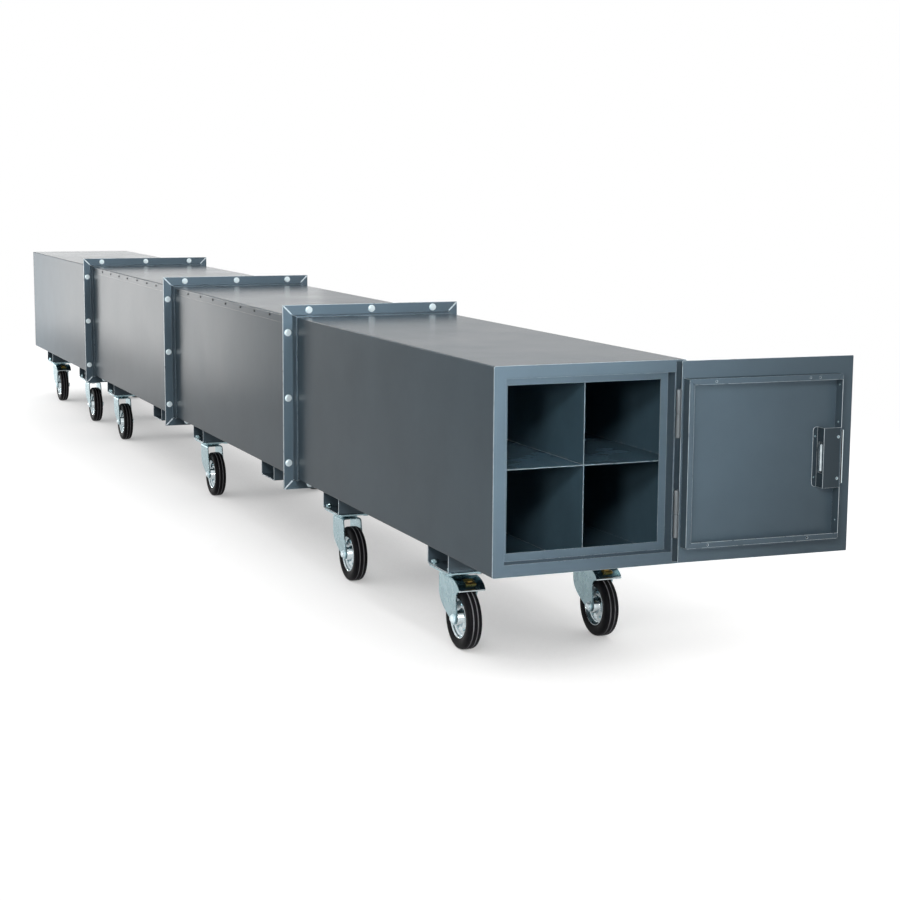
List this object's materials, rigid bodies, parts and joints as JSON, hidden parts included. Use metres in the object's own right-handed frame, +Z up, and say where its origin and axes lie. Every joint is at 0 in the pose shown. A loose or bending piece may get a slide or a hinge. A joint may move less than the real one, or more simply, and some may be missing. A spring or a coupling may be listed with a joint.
{
  "type": "pipe storage box",
  "caption": "Long sheet-steel box for storing pipes, made of flanged sections bolted end to end on swivel castors, with divided compartments and a hinged locking door at one end.",
  "frame": {"origin": "on the floor, under the middle of the whole object with its door standing open", "axes": "+X to the right as seen from the door end, +Y along the box from the door to the closed end, +Z up"},
  "size_m": [1.0038, 6.1502, 0.7853],
  "materials": {
    "slate_paint": "satin powder coat",
    "bright_zinc": "bright zinc plating",
    "yellow_zinc": "yellow passivated zinc",
    "black_rubber": "matt ribbed rubber"
  },
  "bodies": {
    "box": {"section_1_shell": "slate_paint", "section_2_shell": "slate_paint", "section_3_shell": "slate_paint", "section_4_shell": "slate_paint", "section_1_divider": "slate_paint", "section_2_divider": "slate_paint", "section_3_divider": "slate_paint", "section_4_divider": "slate_paint", "front_frame": "slate_paint", "hinge_lower_frame_half": "slate_paint", "hinge_upper_frame_half": "slate_paint", "flange_1_front": "slate_paint", "flange_1_rear": "slate_paint", "flange_2_front": "slate_paint", "flange_2_rear": "slate_paint", "flange_3_front": "slate_paint", "flange_3_rear": "slate_paint", "channel_1_front": "slate_paint", "channel_1_rear": "slate_paint", "channel_2_front": "slate_paint", "channel_2_rear": "slate_paint", "channel_3_front": "slate_paint", "channel_3_rear": "slate_paint", "channel_4_front": "slate_paint", "channel_4_rear": "slate_paint"},
    "door": {"door_skin": "slate_paint", "door_pan": "slate_paint", "hinge_lower_door_half": "slate_paint", "hinge_upper_door_half": "slate_paint", "lock_cover": "slate_paint"},
    "bolt": {"lock_bolt": "bright_zinc"},
    "key": {"key_cylinder": "bright_zinc"},
    "castor_1_left": {"castor_1_left_fork": "bright_zinc"},
    "castor_1_right": {"castor_1_right_fork": "bright_zinc"},
    "castor_2_left": {"castor_2_left_fork": "bright_zinc"},
    "castor_2_right": {"castor_2_right_fork": "bright_zinc"},
    "castor_3_left": {"castor_3_left_fork": "bright_zinc"},
    "castor_3_right": {"castor_3_right_fork": "bright_zinc"},
    "castor_4_left": {"castor_4_left_fork": "bright_zinc"},
    "castor_4_right": {"castor_4_right_fork": "bright_zinc"},
    "castor_5_left": {"castor_5_left_fork": "bright_zinc"},
    "castor_5_right": {"castor_5_right_fork": "bright_zinc"},
    "castor_6_left": {"castor_6_left_fork": "bright_zinc"},
    "castor_6_right": {"castor_6_right_fork": "bright_zinc"},
    "wheel_1_left": {"castor_1_left_wheel": "black_rubber"},
    "wheel_1_right": {"castor_1_right_wheel": "black_rubber"},
    "wheel_2_left": {"castor_2_left_wheel": "black_rubber"},
    "wheel_2_right": {"castor_2_right_wheel": "black_rubber"},
    "wheel_3_left": {"castor_3_left_wheel": "black_rubber"},
    "wheel_3_right": {"castor_3_right_wheel": "black_rubber"},
    "wheel_4_left": {"castor_4_left_wheel": "black_rubber"},
    "wheel_4_right": {"castor_4_right_wheel": "black_rubber"},
    "wheel_5_left": {"castor_5_left_wheel": "black_rubber"},
    "wheel_5_right": {"castor_5_right_wheel": "black_rubber"},
    "wheel_6_left": {"castor_6_left_wheel": "black_rubber"},
    "wheel_6_right": {"castor_6_right_wheel": "black_rubber"},
    "pedal_1_left": {"castor_1_left_pedal": "yellow_zinc"},
    "pedal_1_right": {"castor_1_right_pedal": "yellow_zinc"},
    "pedal_6_left": {"castor_6_left_pedal": "yellow_zinc"},
    "pedal_6_right": {"castor_6_right_pedal": "yellow_zinc"}
  },
  "joints": [
    {"name": "door_hinge", "type": "hinge", "parent": "box", "child": "door", "pos_m": [0.01813, -3.02694, 0.5003], "axis": [0, 0, 1], "range_deg": [-178, 2]},
    {"name": "bolt_throw", "type": "slide", "parent": "door", "child": "bolt", "axis": [0.9994, -0.0349, 0], "range_m": [0, 0.018]},
    {"name": "key_turn", "type": "hinge", "parent": "door", "child": "key", "pos_m": [0.43737, -3.04158, 0.4963], "axis": [0.0349, 0.9994, 0], "range_deg": [0, 90]},
    {"name": "swivel_1_left", "type": "hinge", "parent": "box", "child": "castor_1_left", "pos_m": [-0.40537, -2.65994, 0.19], "axis": [0, 0, 1], "continuous": true},
    {"name": "swivel_1_right", "type": "hinge", "parent": "box", "child": "castor_1_right", "pos_m": [-0.02337, -2.65994, 0.19], "axis": [0, 0, 1], "continuous": true},
    {"name": "swivel_2_left", "type": "hinge", "parent": "box", "child": "castor_2_left", "pos_m": [-0.40537, -1.81994, 0.19], "axis": [0, 0, 1], "continuous": true},
    {"name": "swivel_2_right", "type": "hinge", "parent": "box", "child": "castor_2_right", "pos_m": [-0.02337, -1.81994, 0.19], "axis": [0, 0, 1], "continuous": true},
    {"name": "swivel_3_left", "type": "hinge", "parent": "box", "child": "castor_3_left", "pos_m": [-0.40537, -0.29494, 0.19], "axis": [0, 0, 1], "continuous": true},
    {"name": "swivel_3_right", "type": "hinge", "parent": "box", "child": "castor_3_right", "pos_m": [-0.02337, -0.29494, 0.19], "axis": [0, 0, 1], "continuous": true},
    {"name": "swivel_4_left", "type": "hinge", "parent": "box", "child": "castor_4_left", "pos_m": [-0.40537, 1.23006, 0.19], "axis": [0, 0, 1], "continuous": true},
    {"name": "swivel_4_right", "type": "hinge", "parent": "box", "child": "castor_4_right", "pos_m": [-0.02337, 1.23006, 0.19], "axis": [0, 0, 1], "continuous": true},
    {"name": "swivel_5_left", "type": "hinge", "parent": "box", "child": "castor_5_left", "pos_m": [-0.40537, 1.87006, 0.19], "axis": [0, 0, 1], "continuous": true},
    {"name": "swivel_5_right", "type": "hinge", "parent": "box", "child": "castor_5_right", "pos_m": [-0.02337, 1.87006, 0.19], "axis": [0, 0, 1], "continuous": true},
    {"name": "swivel_6_left", "type": "hinge", "parent": "box", "child": "castor_6_left", "pos_m": [-0.40537, 2.71006, 0.19], "axis": [0, 0, 1], "continuous": true},
    {"name": "swivel_6_right", "type": "hinge", "parent": "box", "child": "castor_6_right", "pos_m": [-0.02337, 2.71006, 0.19], "axis": [0, 0, 1], "continuous": true},
    {"name": "roll_1_left", "type": "hinge", "parent": "castor_1_left", "child": "wheel_1_left", "pos_m": [-0.40537, -2.70994, 0.08], "axis": [1, 0, 0], "continuous": true},
    {"name": "roll_1_right", "type": "hinge", "parent": "castor_1_right", "child": "wheel_1_right", "pos_m": [-0.02337, -2.70994, 0.08], "axis": [1, 0, 0], "continuous": true},
    {"name": "roll_2_left", "type": "hinge", "parent": "castor_2_left", "child": "wheel_2_left", "pos_m": [-0.40537, -1.86994, 0.08], "axis": [1, 0, 0], "continuous": true},
    {"name": "roll_2_right", "type": "hinge", "parent": "castor_2_right", "child": "wheel_2_right", "pos_m": [-0.02337, -1.86994, 0.08], "axis": [1, 0, 0], "continuous": true},
    {"name": "roll_3_left", "type": "hinge", "parent": "castor_3_left", "child": "wheel_3_left", "pos_m": [-0.40537, -0.34494, 0.08], "axis": [1, 0, 0], "continuous": true},
    {"name": "roll_3_right", "type": "hinge", "parent": "castor_3_right", "child": "wheel_3_right", "pos_m": [-0.02337, -0.34494, 0.08], "axis": [1, 0, 0], "continuous": true},
    {"name": "roll_4_left", "type": "hinge", "parent": "castor_4_left", "child": "wheel_4_left", "pos_m": [-0.40537, 1.18006, 0.08], "axis": [1, 0, 0], "continuous": true},
    {"name": "roll_4_right", "type": "hinge", "parent": "castor_4_right", "child": "wheel_4_right", "pos_m": [-0.02337, 1.18006, 0.08], "axis": [1, 0, 0], "continuous": true},
    {"name": "roll_5_left", "type": "hinge", "parent": "castor_5_left", "child": "wheel_5_left", "pos_m": [-0.40537, 1.82006, 0.08], "axis": [1, 0, 0], "continuous": true},
    {"name": "roll_5_right", "type": "hinge", "parent": "castor_5_right", "child": "wheel_5_right", "pos_m": [-0.02337, 1.82006, 0.08], "axis": [1, 0, 0], "continuous": true},
    {"name": "roll_6_left", "type": "hinge", "parent": "castor_6_left", "child": "wheel_6_left", "pos_m": [-0.40537, 2.66006, 0.08], "axis": [1, 0, 0], "continuous": true},
    {"name": "roll_6_right", "type": "hinge", "parent": "castor_6_right", "child": "wheel_6_right", "pos_m": [-0.02337, 2.66006, 0.08], "axis": [1, 0, 0], "continuous": true},
    {"name": "brake_1_left", "type": "hinge", "parent": "castor_1_left", "child": "pedal_1_left", "pos_m": [-0.40537, -2.69994, 0.184], "axis": [1, 0, 0], "range_deg": [-15, 0]},
    {"name": "brake_1_right", "type": "hinge", "parent": "castor_1_right", "child": "pedal_1_right", "pos_m": [-0.02337, -2.69994, 0.184], "axis": [1, 0, 0], "range_deg": [-15, 0]},
    {"name": "brake_6_left", "type": "hinge", "parent": "castor_6_left", "child": "pedal_6_left", "pos_m": [-0.40537, 2.67006, 0.184], "axis": [1, 0, 0], "range_deg": [-15, 0]},
    {"name": "brake_6_right", "type": "hinge", "parent": "castor_6_right", "child": "pedal_6_right", "pos_m": [-0.02337, 2.67006, 0.184], "axis": [1, 0, 0], "range_deg": [-15, 0]}
  ],
  "couplings": [
    {"joint": "key_turn", "follows": "bolt_throw", "rad_per_m": 87.26}
  ]
}
